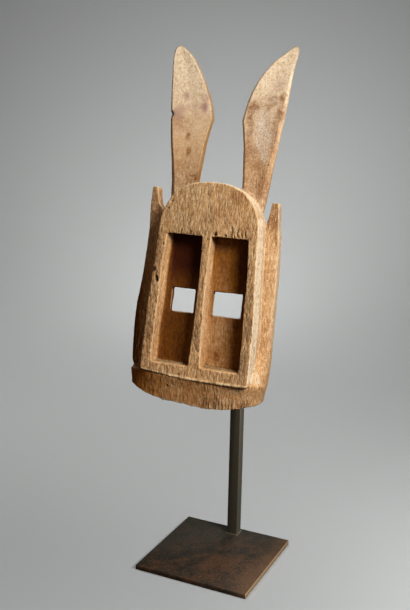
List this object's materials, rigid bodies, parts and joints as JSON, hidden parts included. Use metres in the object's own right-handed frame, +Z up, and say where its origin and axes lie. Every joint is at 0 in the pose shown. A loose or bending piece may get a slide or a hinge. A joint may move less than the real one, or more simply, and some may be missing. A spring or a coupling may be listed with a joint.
{
  "type": "hare mask on stand",
  "caption": "Tall wooden hare mask, a box face with sunk eye channels and upright ears over a hollow back, carried on a square steel post and plate.",
  "frame": {"origin": "middle of the plate's underside", "axes": "+Z up, the mask's face looks along -Y, +X to the viewer's right"},
  "size_m": [0.188, 0.1666, 0.6838],
  "materials": {
    "wood": "dry, weathered, tan-brown hardwood with fine upright fissures, pits and darker hollows",
    "bar_steel": "blackened bare steel bar, waxed, satin",
    "plate_steel": "rust-brown patinated steel plate, waxed, with paler worn edges"
  },
  "bodies": {
    "root": {"mask": "wood", "stand_post": "bar_steel", "base_plate": "plate_steel"}
  },
  "joints": []
}
